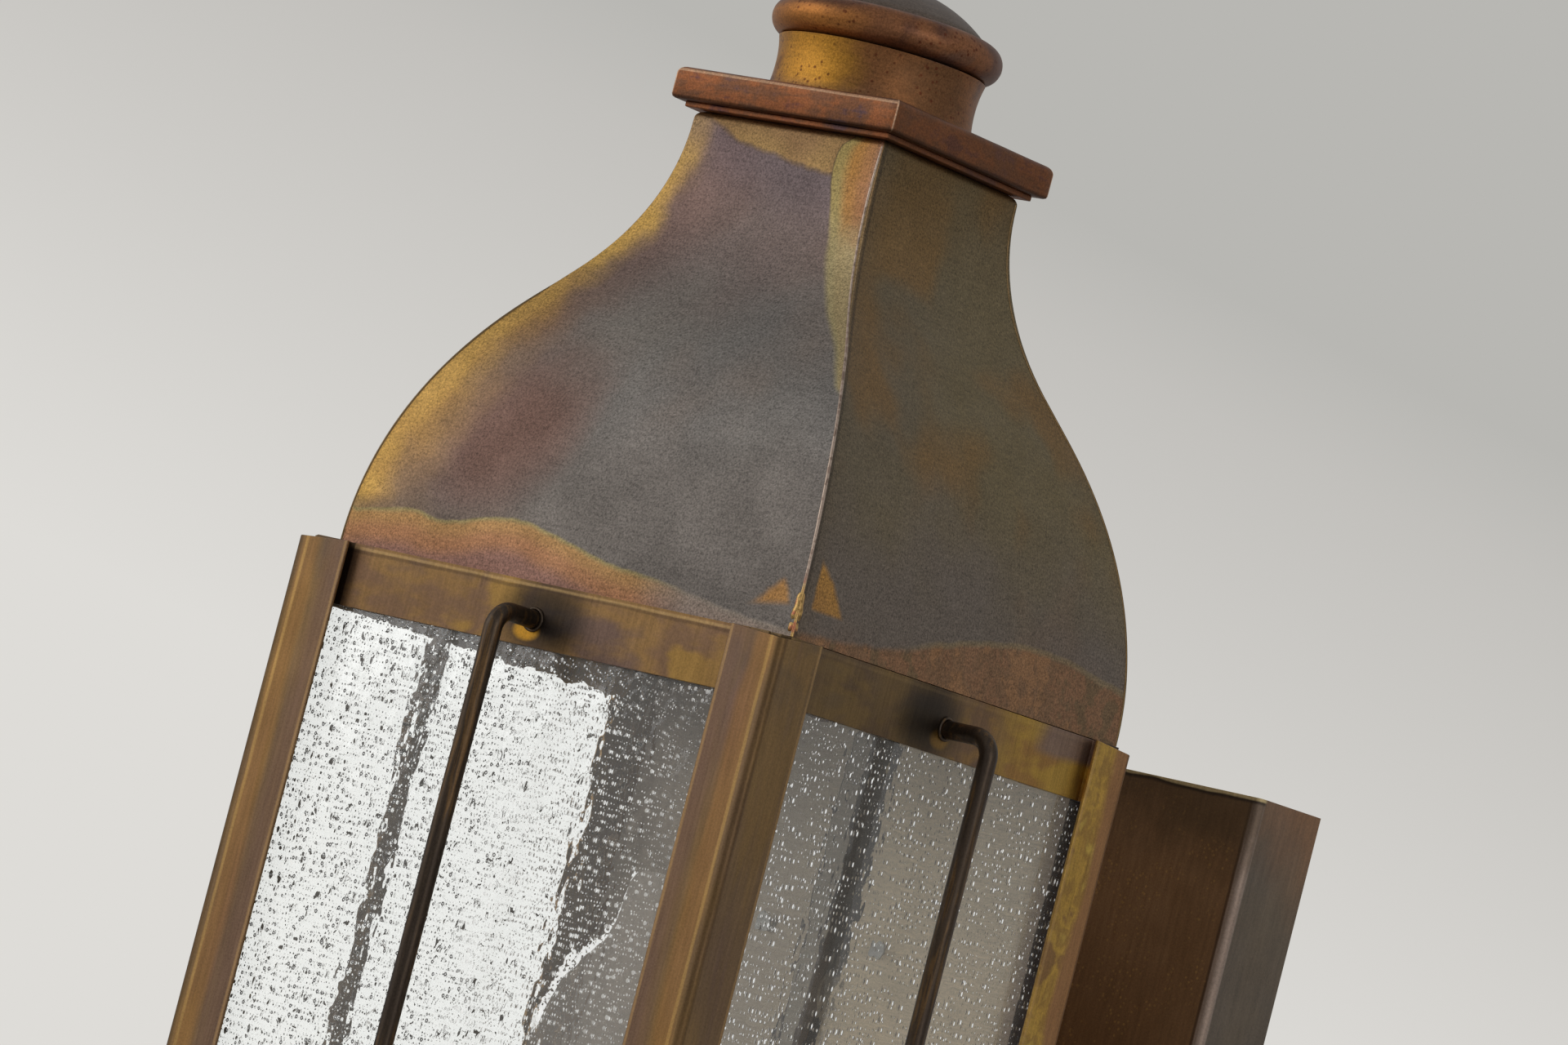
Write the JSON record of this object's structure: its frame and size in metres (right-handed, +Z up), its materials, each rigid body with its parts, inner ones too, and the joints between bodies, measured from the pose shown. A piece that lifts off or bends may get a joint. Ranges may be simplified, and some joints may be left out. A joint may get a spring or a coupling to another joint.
{
  "type": "outdoor wall light",
  "caption": "Wall lantern with an ogee lift-off roof, round chimney cap, seeded glass panes, corner posts, guard rods and a box arm on a pan-shaped back plate",
  "frame": {"origin": "middle of the wall strap's slots, on the wall plane", "axes": "+Y points into the wall, -Y is the front, +Z is up, +X is to the right seen from the front"},
  "size_m": [0.2474, 0.3357, 0.4836],
  "materials": {
    "aged_brass": "aged and heat stained, satin",
    "roof_brass": "aged and heat stained, satin",
    "copper": "dark copper brown, satin",
    "dark_bronze": "dark bronze, satin",
    "plated_steel": "zinc plated",
    "satin_metal": "satin",
    "seeded_glass": "clear with small air bubbles",
    "candle_ivory": "matt",
    "black_plastic": "matt",
    "green_paint": "painted",
    "rubber": "matt"
  },
  "bodies": {
    "lantern": {"back_plate": "dark_bronze", "back_plate_ends": "dark_bronze", "wall_strap": "plated_steel", "strap_studs": "plated_steel", "ground_screw": "green_paint", "box_arm": "aged_brass", "arm_front_screws": "plated_steel", "arm_rear_screws": "plated_steel", "wire_grommet": "rubber", "wire_channel": "copper", "back_panel": "satin_metal", "front_left_post": "aged_brass", "front_right_post": "aged_brass", "back_right_post": "aged_brass", "back_left_post": "aged_brass", "top_rail_front": "aged_brass", "top_rail_right": "aged_brass", "top_rail_back": "aged_brass", "top_rail_left": "aged_brass", "bottom_rail_front": "aged_brass", "bottom_rail_right": "aged_brass", "bottom_rail_back": "aged_brass", "bottom_rail_left": "aged_brass", "floor_plate": "aged_brass", "glass_front": "seeded_glass", "glass_right": "seeded_glass", "glass_left": "seeded_glass", "glass_clips": "aged_brass", "guard_rod_front": "dark_bronze", "guard_rod_right": "dark_bronze", "guard_rod_left": "dark_bronze", "roof_bar": "plated_steel", "bar_screws": "plated_steel", "roof_stem": "plated_steel", "stem_nuts": "plated_steel", "heat_shield": "plated_steel", "cluster_nut": "plated_steel", "cluster_nipple": "plated_steel", "cluster_cup": "aged_brass", "cluster_plate": "aged_brass", "candle_sleeves": "candle_ivory", "lamp_sockets": "black_plastic"},
    "roof": {"roof_panel_front": "roof_brass", "roof_panel_right": "roof_brass", "roof_panel_back": "roof_brass", "roof_panel_left": "roof_brass", "hip_seams": "roof_brass", "cap_liner": "copper", "cap_plate": "copper", "chimney_neck": "aged_brass"},
    "chimney_cap": {"chimney_cap": "aged_brass"},
    "cap_nut_upper": {"cap_nut_upper": "dark_bronze"},
    "cap_nut_lower": {"cap_nut_lower": "dark_bronze"}
  },
  "joints": [
    {"name": "roof_lift", "type": "slide", "parent": "lantern", "child": "roof", "axis": [0, 0, 1], "range_m": [0, 0.24]},
    {"name": "chimney_cap_turn", "type": "hinge", "parent": "roof", "child": "chimney_cap", "pos_m": [0.0028, -0.2092, 0.3363], "axis": [0, 0, 1], "continuous": true},
    {"name": "cap_nut_upper_turn", "type": "hinge", "parent": "lantern", "child": "cap_nut_upper", "pos_m": [0, -0.045, 0.075], "axis": [0, 1, 0], "continuous": true},
    {"name": "cap_nut_lower_turn", "type": "hinge", "parent": "lantern", "child": "cap_nut_lower", "pos_m": [0, -0.045, -0.075], "axis": [0, 1, 0], "continuous": true}
  ]
}
